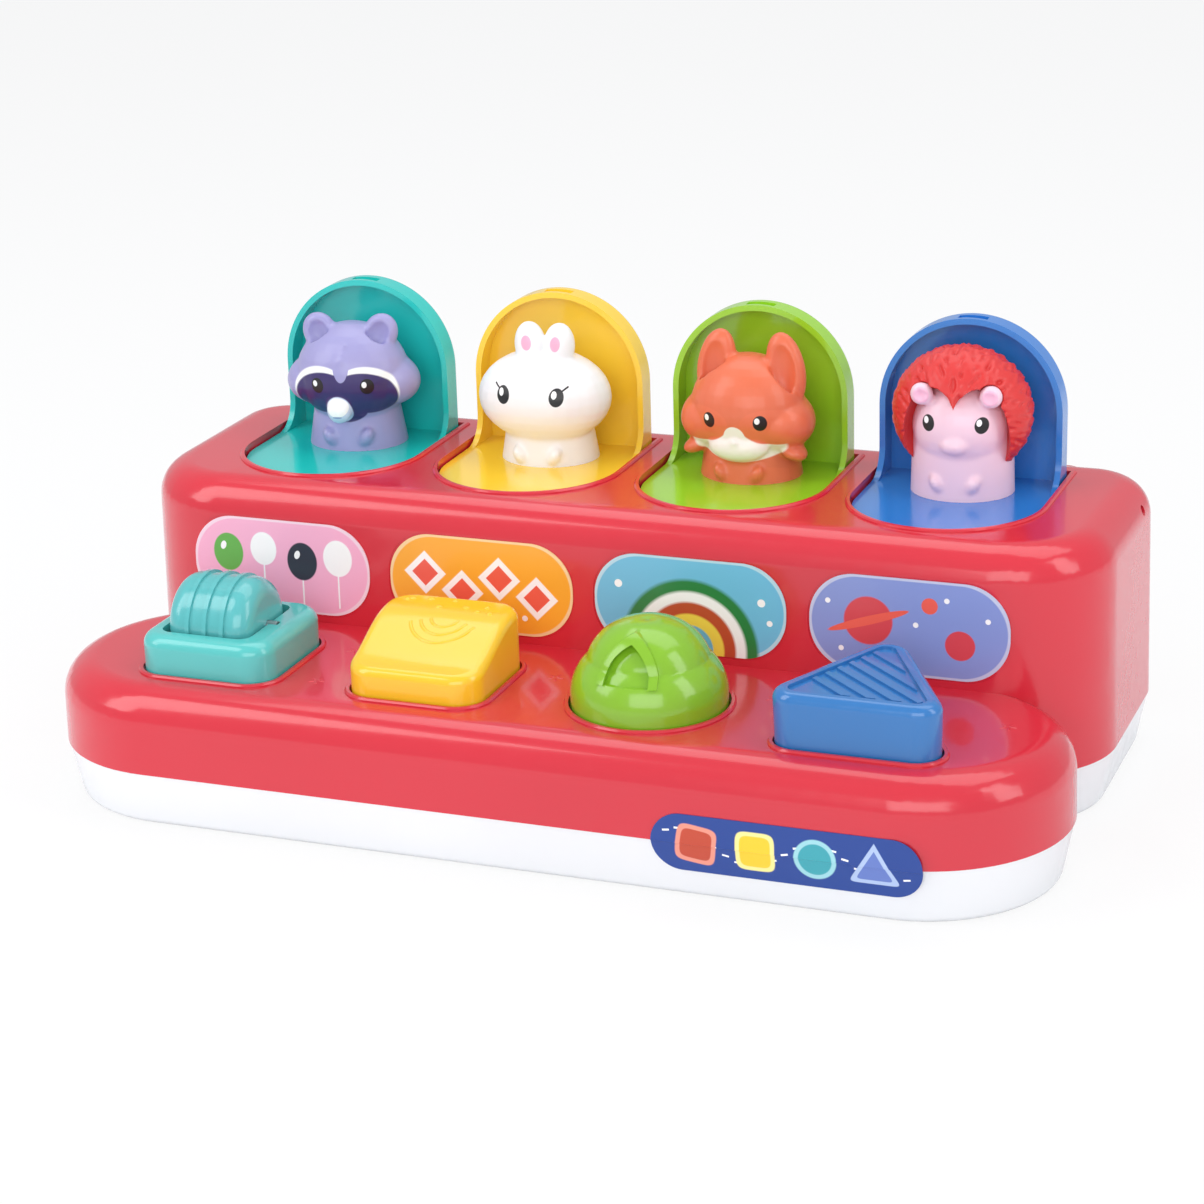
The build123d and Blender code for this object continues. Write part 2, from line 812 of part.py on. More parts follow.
def ellipsoid(x, y, z, a, b, c):
    """An ellipsoid with its own three half axes."""
    return Pos(x, y, z) * scale(Sphere(1), by=(a, b, c))


def torso(x, low_radius, waist_radius, height):
    """A figure's body: a turned bell that stands on the flap floor."""
    upper = (low_radius - foot_draft, foot_rise)
    sides = [
        Line((0, 0), (low_radius - foot_round, 0)),
        ThreePointArc((low_radius - foot_round, 0), (low_radius, foot_bulge_rise), upper),
        Line(upper, (waist_radius, height)),
        Line((waist_radius, height), (0, height)),
        Line((0, height), (0, 0)),
    ]
    turned = revolve(Plane.XZ * make_face(sides), Axis.Z)
    return Pos(x, figure_y, floor_z) * turned


def head(x, height, half_width, half_depth, half_height):
    """A figure's head: an ellipsoid that leans forward over the body."""
    return ellipsoid(x, figure_y - head_lead, floor_z + height, half_width, half_depth, half_height)


def ear(x, side, spread, height, half_width, half_height, tilt):
    """One ear, tilted outward from the head."""
    place = Pos(x + side * spread, figure_y - head_lead, floor_z + height) * Rot(0, side * tilt, 0)
    return place * scale(Sphere(1), by=(half_width, ear_half_depth, half_height))


def raccoon_figure(x):
    """Wide head with a round muzzle and round ears."""
    body = torso(x, raccoon_foot_radius, raccoon_neck_radius, raccoon_neck_rise)
    width, depth_half, height = raccoon_head_half_width, raccoon_head_half_depth, raccoon_head_half_height
    body += head(x, raccoon_head_rise, width, depth_half, height)
    ear_half = (raccoon_ear_half_width, raccoon_ear_half_height)
    for side in (-1, 1):
        body += ear(x, side, raccoon_ear_spread, raccoon_ear_rise, *ear_half, raccoon_ear_tilt)
    body += Pos(x, figure_y - muzzle_lead, floor_z + muzzle_rise) * Sphere(muzzle_radius)
    return body - figure_bore(x)


def rabbit_figure(x):
    """Wide smooth head with two short round ears."""
    body = torso(x, rabbit_foot_radius, rabbit_neck_radius, rabbit_neck_rise)
    width, depth_half, height = rabbit_head_half_width, rabbit_head_half_depth, rabbit_head_half_height
    body += head(x, rabbit_head_rise, width, depth_half, height)
    ear_half = (rabbit_ear_half_width, rabbit_ear_half_height)
    for side in (-1, 1):
        body += ear(x, side, rabbit_ear_spread, rabbit_ear_rise, *ear_half, rabbit_ear_tilt)
    return body - figure_bore(x)


def fox_figure(x):
    """Head with tall ears and cheeks that stand out."""
    body = torso(x, fox_foot_radius, fox_neck_radius, fox_neck_rise)
    width, depth_half, height = fox_head_half_width, fox_head_half_depth, fox_head_half_height
    body += head(x, fox_head_rise, width, depth_half, height)
    ear_half = (fox_ear_half_width, fox_ear_half_height)
    for side in (-1, 1):
        body += ear(x, side, fox_ear_spread, fox_ear_rise, *ear_half, fox_ear_tilt)
    return body - figure_bore(x)


def hedgehog_blank(x, grow):
    """The hedgehog's body, head and round ears, grown by a margin."""
    body = torso(x, hedgehog_foot_radius + grow, hedgehog_neck_radius + grow, hedgehog_neck_rise)
    halves = (hedgehog_head_half_width, hedgehog_head_half_depth, hedgehog_head_half_height)
    body += head(x, hedgehog_head_rise, *(half + grow for half in halves))
    ear_y, ear_z = figure_y - hedgehog_ear_lead, floor_z + hedgehog_ear_rise
    for side in (-1, 1):
        body += Pos(x + side * hedgehog_ear_spread, ear_y, ear_z) * Sphere(hedgehog_ear_radius + grow)
    return body


def hedgehog_figure(x):
    """Plain body with a rounded face and two round ears."""
    return hedgehog_blank(x, 0) - figure_bore(x)


def hedgehog_spines(x):
    """The cap of spines behind the face."""
    cap = head(x, spines_rise, spines_half_width, spines_half_depth, spines_half_height)
    low, high = floor_z + spines_foot_rise, floor_z + lid_height
    front, back = figure_y - spines_front_lead, lid_y + spines_back
    keep = block(x - lid_half, x + lid_half, front, back, low, high)
    return (cap & keep) - hedgehog_blank(x, seat_gap)


def figure_bore(x):
    """Screw bore in a figure's foot."""
    return post(x, figure_y, floor_z - 1, floor_z + figure_bore_rise, screw_radius + running_gap)


def face_label(x):
    """Printed label in its recess on the riser front."""
    plane = label_plane(x, label_z, -label_recess)
    return extrude(plane * RectangleRounded(label_length, label_height, label_round), label_thickness)


def front_label():
    """Printed label that bends over the border of the shell and the tray."""
    half = front_label_height / 2
    lean = tan(radians(draft))
    fall = tan(radians(tray_taper))
    upper = (front_y + half * lean, parting_z + half)
    lower = (front_y + tray_step + half * fall, parting_z - half)
    step = 0.2
    out = label_thickness
    points = [
        upper,
        (front_y, parting_z),
        (front_y, parting_z - 0.01),
        (front_y + tray_step, parting_z - 0.02),
        lower,
        (lower[0] - out, lower[1]),
        (front_y + tray_step - out, parting_z - step),
        (front_y - out, parting_z),
        (upper[0] - out, upper[1]),
    ]
    sheet = along_x(Polygon(*points, align=None), front_label_x - 60, front_label_x + 60)
    outline = Pos(front_label_x, parting_z) * SlotOverall(front_label_length, front_label_height)
    return sheet & along_y(outline, front_y - 6, front_y + 6)


names = ["teal", "yellow", "green", "blue"]
figures = [
    ("raccoon_figure", raccoon_figure),
    ("rabbit_figure", rabbit_figure),
    ("fox_figure", fox_figure),
    ("hedgehog_figure", hedgehog_figure),
]

nodes = {
    "top_housing": top_housing(),
    "base_tray": base_tray(),
    "hinge_rod": hinge_rod(),
    "keeper_bar": keeper_bar(),
    "base_screws": base_screws(),
    "keeper_screws": keeper_screws(),
    "roller_frame": roller_frame(),
    "roller_pin": roller_pin(),
    "roller": roller(),
    "wedge_button": wedge_button(),
    "dome_button": dome_button(),
    "triangle_button": triangle_button(),
    "hedgehog_spines": hedgehog_spines(flap_x[3]),
    "front_label": front_label(),
}
for index, x in enumerate(flap_x):
    figure_name, make_figure = figures[index]
    nodes[f"flap_{names[index]}"] = flap(x)
    nodes[figure_name] = make_figure(x)
    nodes[f"figure_screw_{index + 1}"] = figure_screw(x)
    nodes[f"flap_spring_{index + 1}"] = flap_spring(x)
    nodes[f"button_carrier_{index + 1}"] = carrier(x)
    nodes[f"button_spring_{index + 1}"] = button_spring(x)
    nodes[f"latch_slider_{index + 1}"] = latch_slider(x)
    nodes[f"face_label_{index + 1}"] = face_label(x)

for name, shape in nodes.items():
    export_step(shape, f"parts/{name}.step")
    print(name, len(shape.solids()), round(shape.volume, 1))
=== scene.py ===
# %% [markdown]
# # Peekaboo pop-up toy
# The toy is a low red shell on a white tray. Four arched flaps stand at the back, each with a small
# soft animal, and four push buttons wait in front. The solids come from the CAD model in metres, so
# every piece that is made here is placed by the toy's own sizes and rides on one of its moving bodies.

# %% Load the frame
import json
from math import cos, pi, radians, sin

import bpy
from mathutils import Matrix, Vector


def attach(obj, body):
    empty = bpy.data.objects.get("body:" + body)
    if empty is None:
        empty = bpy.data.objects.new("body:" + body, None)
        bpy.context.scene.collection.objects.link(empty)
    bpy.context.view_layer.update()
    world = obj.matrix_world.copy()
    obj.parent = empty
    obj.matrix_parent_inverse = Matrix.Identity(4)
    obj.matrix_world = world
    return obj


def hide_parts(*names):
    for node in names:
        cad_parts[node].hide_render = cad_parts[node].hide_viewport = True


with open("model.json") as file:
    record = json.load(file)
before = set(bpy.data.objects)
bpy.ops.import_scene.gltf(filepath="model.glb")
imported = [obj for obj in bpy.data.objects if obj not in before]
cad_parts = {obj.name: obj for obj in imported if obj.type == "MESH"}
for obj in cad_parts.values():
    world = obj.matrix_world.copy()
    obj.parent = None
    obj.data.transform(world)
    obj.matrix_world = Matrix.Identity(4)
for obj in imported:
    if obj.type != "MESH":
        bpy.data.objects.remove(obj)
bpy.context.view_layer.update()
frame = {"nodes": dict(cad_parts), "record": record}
scene = bpy.context.scene

# %% [markdown]
# The main sizes of the toy are written in millimetres, as on its drawing, and turned into metres by
# one factor. A helper clears the selection before each step, because an operator acts on all that is
# selected.

# %% Sizes and small helpers
MM = 0.001
FLAP_X = (-99.0, -33.0, 33.0, 99.0)
FLOOR_Z = 82.5
FIGURE_Y = 47.5
BUTTON_Y = -46.5
DECK_Z = 42.0
COLOURS = ("teal", "yellow", "green", "blue")


def select_only(*pieces):
    bpy.ops.object.select_all(action="DESELECT")
    for piece in pieces:
        piece.select_set(True)
    bpy.context.view_layer.objects.active = pieces[0]


def apply_modifier(piece, kind, **settings):
    select_only(piece)
    bpy.ops.object.modifier_add(type=kind)
    modifier = piece.modifiers[-1]
    for name, value in settings.items():
        setattr(modifier, name, value)
    bpy.ops.object.modifier_apply(modifier=modifier.name)


def finish_piece(piece, material, body):
    piece.data.materials.clear()
    piece.data.materials.append(material)
    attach(piece, body)


print("flap pitch", FLAP_X[1] - FLAP_X[0], "mm")

# %% [markdown]
# The camera stands a little to the right of the toy and looks down on it. Its place and its lens come
# from the even row of flaps in the photograph, which gives the direction of the row and its distance.
# The lens was found in pixels of the frame, so it is turned into millimetres of the sensor.

# %% Camera
AZIMUTH, ELEVATION, ROLL = radians(21.43), radians(19.47), radians(-1.77)
CAMERA_PLACE = (322.7, -819.3, 364.3)
SENSOR = 36.0
LENS_PIXELS, FRAME_PIXELS = 3126.5, 1204
back = Vector((sin(AZIMUTH) * cos(ELEVATION), -cos(AZIMUTH) * cos(ELEVATION), sin(ELEVATION)))
level = Vector((cos(AZIMUTH), sin(AZIMUTH), 0))
across = level * cos(ROLL) + back.cross(level) * sin(ROLL)
turn = Matrix((across, back.cross(across), back)).transposed()
bpy.ops.object.camera_add()
camera = bpy.context.active_object
camera.name = "camera"
camera.matrix_world = Matrix.Translation(Vector(CAMERA_PLACE) * MM) @ turn.to_4x4()
camera.data.sensor_width = SENSOR
camera.data.lens = SENSOR * LENS_PIXELS / FRAME_PIXELS
camera.data.clip_start = 0.01
scene.camera = camera
print("lens", round(camera.data.lens, 1))

# %% [markdown]
# The floor is a large pale sheet. Seen straight from the camera it is nearly white, as in a cut-out
# picture, and for all other rays it is a plain pale grey that takes the toy's shadow.

# %% Floor
FLOOR_SIZE = 8.0
FLOOR_GLOW = 0.82
bpy.ops.mesh.primitive_plane_add(size=FLOOR_SIZE, location=(0, 0, 0))
floor = bpy.context.active_object
floor.name = "floor"
paper = bpy.data.materials.new("floor_paper")
paper.use_nodes = True
tree = paper.node_tree
tree.nodes.clear()
output = tree.nodes.new("ShaderNodeOutputMaterial")
matt = tree.nodes.new("ShaderNodeBsdfDiffuse")
matt.inputs["Color"].default_value = (0.86, 0.86, 0.87, 1)
glow = tree.nodes.new("ShaderNodeEmission")
glow.inputs["Color"].default_value = (1, 1, 1, 1)
rays = tree.nodes.new("ShaderNodeLightPath")
share = tree.nodes.new("ShaderNodeMath")
share.operation = "MULTIPLY"
share.inputs[1].default_value = FLOOR_GLOW
blend = tree.nodes.new("ShaderNodeMixShader")
tree.links.new(rays.outputs["Is Camera Ray"], share.inputs[0])
tree.links.new(share.outputs[0], blend.inputs[0])
tree.links.new(matt.outputs[0], blend.inputs[1])
tree.links.new(glow.outputs[0], blend.inputs[2])
tree.links.new(blend.outputs[0], output.inputs[0])
floor.data.materials.append(paper)
print("floor ready")

# %% [markdown]
# The light is that of a small photo studio: an even world, a large soft box on each side and in front,
# and one overhead that draws the long pale highlights on the rounded edges. The world itself is white
# where the camera sees it, so that the toy stands alone.

# %% World and lamps
ROOM_LIGHT = 0.62
scene.view_settings.view_transform = "Standard"
world = bpy.data.worlds.new("studio")
scene.world = world
world.use_nodes = True
tree = world.node_tree
tree.nodes.clear()
sky = tree.nodes.new("ShaderNodeOutputWorld")
room = tree.nodes.new("ShaderNodeBackground")
room.inputs["Color"].default_value = (0.93, 0.96, 1.0, 1)
room.inputs["Strength"].default_value = ROOM_LIGHT
white = tree.nodes.new("ShaderNodeBackground")
white.inputs["Color"].default_value = (1, 1, 1, 1)
rays = tree.nodes.new("ShaderNodeLightPath")
seen = tree.nodes.new("ShaderNodeMath")
seen.operation = "MAXIMUM"
blend = tree.nodes.new("ShaderNodeMixShader")
tree.links.new(rays.outputs["Is Camera Ray"], seen.inputs[0])
tree.links.new(rays.outputs["Is Transmission Ray"], seen.inputs[1])
tree.links.new(seen.outputs[0], blend.inputs[0])
tree.links.new(room.outputs[0], blend.inputs[1])
tree.links.new(white.outputs[0], blend.inputs[2])
tree.links.new(blend.outputs[0], sky.inputs[0])


def soft_box(name, place, aim, size, power):
    bpy.ops.object.light_add(type="AREA", location=place)
    lamp = bpy.context.active_object
    lamp.name = name
    lamp.data.shape = "RECTANGLE"
    lamp.data.size, lamp.data.size_y = size
    lamp.data.energy = power
    lamp.rotation_euler = (Vector(aim) - Vector(place)).to_track_quat("-Z", "Y").to_euler()


soft_box("box_left", (-0.75, -0.55, 0.75), (0, 0, 0.05), (0.5, 0.9), 4.2)
soft_box("box_right", (0.95, -0.15, 0.6), (0, 0, 0.05), (0.35, 0.8), 2.4)
soft_box("box_top", (0.05, 0.25, 1.05), (0, 0, 0.05), (1.3, 0.6), 4.2)
soft_box("box_front", (0.35, -1.3, 0.55), (0, 0, 0.08), (1.2, 0.7), 6.6)

# %% [markdown]
# Moulded plastic is one colour all through, but never quite even: the colour drifts a little, the
# gloss is finely uneven, and the surface has a faint ripple from the mould. Three noise patterns on
# Object coordinates give these, at the size of the real marks.

# %% Moulded plastic
NOISE_LOW, NOISE_HIGH = 0.3, 0.7
COAT_ROUGHNESS = 0.06
RIPPLE_HEIGHT = 0.0006


def noise(tree, scale, detail=2.0):
    place = tree.nodes.new("ShaderNodeTexCoord")
    pattern = tree.nodes.new("ShaderNodeTexNoise")
    pattern.inputs["Scale"].default_value = scale
    pattern.inputs["Detail"].default_value = detail
    tree.links.new(place.outputs["Object"], pattern.inputs["Vector"])
    return pattern.outputs["Fac"]


def ramp(tree, source, low, high):
    """Spread the middle band of a noise, where nearly all its values lie, from low to high."""
    spread = tree.nodes.new("ShaderNodeMapRange")
    spread.inputs["From Min"].default_value = NOISE_LOW
    spread.inputs["From Max"].default_value = NOISE_HIGH
    spread.inputs["To Min"].default_value = low
    spread.inputs["To Max"].default_value = high
    tree.links.new(source, spread.inputs["Value"])
    return spread.outputs["Result"]


def mix_colour(tree, factor, first, second):
    """Mix two colours. Inputs 6 and 7 of a Mix node are its colours, and output 2 is the mixed one."""
    mix = tree.nodes.new("ShaderNodeMix")
    mix.data_type = "RGBA"
    for socket, value in ((mix.inputs[0], factor), (mix.inputs[6], first), (mix.inputs[7], second)):
        if isinstance(value, (tuple, float)):
            socket.default_value = value
        else:
            tree.links.new(value, socket)
    return mix.outputs[2]


def linear(colour, shade=1.0):
    """A screen colour of 0 to 255 as the linear colour that a shader takes."""
    parts = []
    for part in colour:
        part = part / 255
        parts.append(shade * (part / 12.92 if part < 0.04045 else ((part + 0.055) / 1.055) ** 2.4))
    return (*parts, 1)


def plastic(name, colour, gloss=(0.14, 0.22), coat=0.35, ripple=0.03, glow=0.0):
    material = bpy.data.materials.new(name)
    material.use_nodes = True
    tree = material.node_tree
    shader = tree.nodes["Principled BSDF"]
    drift = ramp(tree, noise(tree, 9.0), 0.0, 1.0)
    base = mix_colour(tree, drift, linear(colour), linear(colour, 0.93))
    tree.links.new(base, shader.inputs["Base Color"])
    tree.links.new(ramp(tree, noise(tree, 260.0, 4.0), *gloss), shader.inputs["Roughness"])
    shader.inputs["Coat Weight"].default_value = coat
    shader.inputs["Coat Roughness"].default_value = COAT_ROUGHNESS
    shader.inputs["Subsurface Weight"].default_value = glow
    shader.inputs["Subsurface Radius"].default_value = (0.004, 0.003, 0.003)
    shader.inputs["Subsurface Scale"].default_value = 1.0
    bump = tree.nodes.new("ShaderNodeBump")
    bump.inputs["Strength"].default_value = ripple
    bump.inputs["Distance"].default_value = RIPPLE_HEIGHT
    tree.links.new(noise(tree, 55.0, 3.0), bump.inputs["Height"])
    tree.links.new(bump.outputs["Normal"], shader.inputs["Normal"])
    return material


finish = {
    "shell_red": plastic("shell_red_gloss", (214, 44, 60)),
    "tray_white": plastic("tray_white_gloss", (240, 241, 243)),
    "flap_teal": plastic("teal_gloss", (34, 198, 190)),
    "flap_yellow": plastic("yellow_gloss", (255, 212, 60)),
    "flap_green": plastic("green_gloss", (156, 212, 44)),
    "flap_blue": plastic("blue_gloss", (48, 126, 208)),
    "roller_teal": plastic("roller_teal_gloss", (90, 184, 186)),
    "inner_grey": plastic("inner_grey_matt", (190, 190, 194), gloss=(0.4, 0.55), coat=0.0),
}
print("finishes", len(finish))

# %% [markdown]
# Steel parts are the hinge rod, the roller's pin, the screws and the springs. Bright steel is never
# one even grey: a fine noise darkens it in spots, and a finer one breaks up its gloss.

# %% Steel
def steel(name, shade):
    material = bpy.data.materials.new(name)
    material.use_nodes = True
    tree = material.node_tree
    shader = tree.nodes["Principled BSDF"]
    shader.inputs["Metallic"].default_value = 1.0
    tone = (shade, shade, shade + 4)
    drift = ramp(tree, noise(tree, 400.0, 5.0), 0.0, 1.0)
    base = mix_colour(tree, drift, linear(tone), linear(tone, 0.8))
    tree.links.new(base, shader.inputs["Base Color"])
    tree.links.new(ramp(tree, noise(tree, 900.0, 3.0), 0.22, 0.4), shader.inputs["Roughness"])
    return material


finish["steel"] = steel("drawn_steel", 190)
finish["spring_steel"] = steel("spring_wire", 160)
print("finishes", len(finish))

# %% [markdown]
# The CAD solids arrive as loose triangles with flat shading. A moulded toy needs smooth, even
# highlights, so each visible solid is copied, welded and shaded smooth, with weighted normals that
# keep its flat faces flat. The copy then stands for the solid. The triangle's top isn't quite level on
# the toy, so the vertices of its upper half are drawn together towards the front and leaned.

# %% Smooth copies of the moulded solids
WELD = 0.00001
TOP_FROM, TOP_FRONT, TOP_RISE = 10, 23, 16.5
TOP_SHRINK, TOP_LEAN, TOP_SINK = (1.02, 0.88, 1), -4.5, 1.5


def smooth_copy(node, angle=28):
    piece = bpy.data.objects.new("smooth_" + node, frame["nodes"][node].data.copy())
    scene.collection.objects.link(piece)
    select_only(piece)
    bpy.ops.mesh.customdata_custom_splitnormals_clear()
    bpy.ops.object.mode_set(mode="EDIT")
    bpy.ops.mesh.select_all(action="SELECT")
    bpy.ops.mesh.remove_doubles(threshold=WELD)
    bpy.ops.mesh.select_all(action="DESELECT")
    bpy.ops.object.mode_set(mode="OBJECT")
    bpy.ops.object.shade_smooth_by_angle(angle=radians(angle))
    apply_modifier(piece, "WEIGHTED_NORMAL", keep_sharp=True, weight=80)
    return piece


def lean_top(piece, x):
    """Draw the back corner of the triangle's top forward and up, so that its top slopes to the front."""
    select_only(piece)
    low = (DECK_Z + TOP_FROM) * MM
    for vertex in piece.data.vertices:
        vertex.select = vertex.co.z > low
    bpy.ops.object.mode_set(mode="EDIT")
    bpy.ops.mesh.select_mode(type="VERT")
    front = (x * MM, (BUTTON_Y - TOP_FRONT) * MM, (DECK_Z + TOP_RISE) * MM)
    bpy.ops.transform.resize(value=TOP_SHRINK, center_override=front)
    bpy.ops.transform.rotate(value=radians(TOP_LEAN), orient_axis="X", center_override=front)
    bpy.ops.transform.translate(value=(0, 0, -TOP_SINK * MM))
    bpy.ops.object.mode_set(mode="OBJECT")
    print("top leans to", round(max(vertex.co.z for vertex in piece.data.vertices) / MM, 1), "mm")


slots = {entry["node"]: entry["material_slot"] for entry in frame["record"]["subparts"]}
bodies = {node: body for body, group in frame["record"]["behaviour"]["bodies"].items() for node in group}
moulded = ["top_housing", "base_tray", "roller_frame", "roller"]
moulded += ["wedge_button", "dome_button", "triangle_button"]
moulded += ["flap_" + colour for colour in COLOURS]
button_finish = {
    "roller_frame": plastic("button_teal", (88, 194, 190)),
    "wedge_button": plastic("button_yellow", (248, 198, 40)),
    "dome_button": plastic("button_green", (136, 190, 40)),
    "triangle_button": plastic("button_blue", (50, 120, 188)),
}
for node in moulded:
    piece = smooth_copy(node)
    if node == "triangle_button":
        lean_top(piece, FLAP_X[3])
    finish_piece(piece, button_finish.get(node, finish[slots[node]]), bodies[node])
    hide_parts(node)
print("smooth copies", len(moulded))

# %% [markdown]
# The animals are soft vinyl heads on short bodies, cast in one piece, so their parts flow into each
# other with no seam. Each is built from balls and a tapered foot that are joined, turned into one skin
# by a voxel remesh, and smoothed, which gives the same soft creases as the real castings.

# %% Balls, feet and one skin
FOOT_OVAL = 0.9
FOOT_SUNK = 3


def ball(centre, radii, tilt=(0, 0, 0), fine=32):
    bpy.ops.mesh.primitive_uv_sphere_add(
        segments=fine,
        ring_count=fine // 2,
        radius=MM,
        location=Vector(centre) * MM,
        rotation=[radians(angle) for angle in tilt],
        scale=radii,
    )
    piece = bpy.context.active_object
    bpy.ops.object.transform_apply(location=True, rotation=True, scale=True)
    return piece


def foot(x, low_radius, top_radius, height):
    """A tapered oval body that starts a little under the flap's floor, where the skin is cut off."""
    bpy.ops.mesh.primitive_cone_add(
        vertices=64,
        radius1=low_radius * MM,
        radius2=top_radius * MM,
        depth=(height + FOOT_SUNK) * MM,
        location=(x * MM, FIGURE_Y * MM, (FLOOR_Z + height / 2 - FOOT_SUNK / 2) * MM),
        scale=(1, FOOT_OVAL, 1),
    )
    bpy.ops.object.transform_apply(location=True, rotation=True, scale=True)
    return bpy.context.active_object


def one_skin(name, x, pieces, hollows=(), voxel=0.5, rounds=5, turn=0.0):
    """Join the pieces in one skin, take the hollows out, and turn it about the figure's own middle."""
    select_only(*pieces)
    bpy.ops.object.join()
    skin = bpy.context.active_object
    skin.name = name
    apply_modifier(skin, "REMESH", mode="VOXEL", voxel_size=voxel * MM)
    for hollow in hollows:
        apply_modifier(skin, "BOOLEAN", operation="DIFFERENCE", object=hollow, solver="MANIFOLD")
        bpy.data.objects.remove(hollow)
    apply_modifier(skin, "REMESH", mode="VOXEL", voxel_size=voxel * MM)
    apply_modifier(skin, "SMOOTH", factor=0.5, iterations=rounds)
    centre = Vector((x, FIGURE_Y, 0)) * MM
    turned = Matrix.Rotation(radians(turn), 4, "Z")
    skin.matrix_world = Matrix.Translation(centre) @ turned @ Matrix.Translation(-centre)
    select_only(skin)
    bpy.ops.object.transform_apply(location=True, rotation=True, scale=True)
    bpy.ops.object.mode_set(mode="EDIT")
    bpy.ops.mesh.select_all(action="SELECT")
    seat = (0, 0, FLOOR_Z * MM)
    bpy.ops.mesh.bisect(plane_co=seat, plane_no=(0, 0, 1), use_fill=True, clear_inner=True)
    bpy.ops.object.mode_set(mode="OBJECT")
    bpy.ops.object.shade_smooth_by_angle(angle=radians(50))
    return skin


print("skin helpers ready")

# %% [markdown]
# The faces are printed on the vinyl. The small white dots in the eyes are not print but painted highlights,
# and the raccoon's muzzle carries painted shade.
# A print is painted here by its material: each shape is a plain outline on the Object coordinates, seen
# from the front, and a later shape lies over an earlier one.
# A Mapping node of the Texture type moves, turns and scales the point, so that a shape is simply the
# place where the mapped point is nearer than one. A print has no depth of its own, so its depth is
# scaled away. A figure that looks a little to one side has its print turned with it.

# %% Painted shapes
NO_DEPTH = 1000
FACE_DEPTH = 6


def face_point(tree, x, y, turn):
    """The painted point, seen from the middle of the piece and turned back by the piece's turn."""
    place = tree.nodes.new("ShaderNodeTexCoord")
    shift = tree.nodes.new("ShaderNodeMapping")
    shift.vector_type = "TEXTURE"
    shift.inputs["Location"].default_value = (x * MM, y * MM, 0)
    shift.inputs["Rotation"].default_value = (0, 0, radians(turn))
    tree.links.new(place.outputs["Object"], shift.inputs["Vector"])
    return shift.outputs["Vector"]


def mapped(tree, point, centre, radii, tilt):
    """The point's place across and up a shape, where one is the shape's edge."""
    shift = tree.nodes.new("ShaderNodeMapping")
    shift.vector_type = "TEXTURE"
    shift.inputs["Location"].default_value = (centre[0] * MM, 0, centre[1] * MM)
    shift.inputs["Rotation"].default_value = (0, radians(tilt), 0)
    shift.inputs["Scale"].default_value = (radii[0] * MM, NO_DEPTH, radii[1] * MM)
    tree.links.new(point, shift.inputs["Vector"])
    parts = tree.nodes.new("ShaderNodeSeparateXYZ")
    tree.links.new(shift.outputs["Vector"], parts.inputs[0])
    return parts.outputs["X"], parts.outputs["Z"]


def math(tree, kind, first, second=None):
    node = tree.nodes.new("ShaderNodeMath")
    node.operation = kind
    for socket, value in ((node.inputs[0], first), (node.inputs[1], second)):
        if isinstance(value, (int, float)):
            socket.default_value = value
        elif value is not None:
            tree.links.new(value, socket)
    return node.outputs[0]


def inside(tree, distance, softness=0.03):
    """One inside a shape and zero outside it, with a slightly soft edge."""
    edge = tree.nodes.new("ShaderNodeMapRange")
    edge.inputs["From Min"].default_value = 1 - softness
    edge.inputs["From Max"].default_value = 1 + softness
    edge.inputs["To Min"].default_value = 1
    edge.inputs["To Max"].default_value = 0
    tree.links.new(distance, edge.inputs["Value"])
    return edge.outputs["Result"]


def power_sum(tree, first, second, power):
    first = math(tree, "POWER", math(tree, "ABSOLUTE", first), power)
    return math(tree, "ADD", first, math(tree, "POWER", math(tree, "ABSOLUTE", second), power))


def oval(tree, point, x, z, rx, rz, tilt=0.0):
    across, up = mapped(tree, point, (x, z), (rx, rz), tilt)
    return inside(tree, power_sum(tree, across, up, 2.0), 0.06)


def tile(tree, point, x, z, rx, rz, tilt=0.0):
    """A square with round corners."""
    across, up = mapped(tree, point, (x, z), (rx, rz), tilt)
    return inside(tree, power_sum(tree, across, up, 5.0), 0.12)


def bar(tree, point, x, z, rx, rz, tilt=0.0):
    """A strip or a square with sharp corners."""
    across, up = mapped(tree, point, (x, z), (rx, rz), tilt)
    return inside(tree, math(tree, "MAXIMUM", math(tree, "ABSOLUTE", across), math(tree, "ABSOLUTE", up)))


def film(tree, point, x, z, rx, rz, tilt=0.0):
    """A long shape with half-round ends."""
    across, up = mapped(tree, point, (x, z), (rz, rz), tilt)
    over = math(tree, "SUBTRACT", math(tree, "ABSOLUTE", across), (rx - rz) / rz)
    return inside(tree, power_sum(tree, math(tree, "MAXIMUM", over, 0.0), up, 2.0), 0.02)


def peak(tree, point, x, z, rx, rz, tilt=0.0):
    """A triangle with round corners: three sides, each at distance one from its middle."""
    across, up = mapped(tree, point, (x, z), (rx, rz), tilt)
    half = math(tree, "MULTIPLY", up, 0.5)
    wide = math(tree, "MULTIPLY", math(tree, "ABSOLUTE", across), 0.866)
    side = math(tree, "MAXIMUM", math(tree, "ADD", wide, half), 0.0)
    below = math(tree, "MAXIMUM", math(tree, "MULTIPLY", up, -1.0), 0.0)
    return inside(tree, power_sum(tree, side, below, 6.0), 0.12)


def front_of(tree, point, depth):
    """One for all points that lie further forward than depth, so that no print shows on the back."""
    parts = tree.nodes.new("ShaderNodeSeparateXYZ")
    tree.links.new(point, parts.inputs[0])
    return math(tree, "LESS_THAN", parts.outputs["Y"], -depth * MM)


def union(tree, shapes):
    total = shapes[0]
    for shape in shapes[1:]:
        total = math(tree, "MAXIMUM", total, shape)
    return total


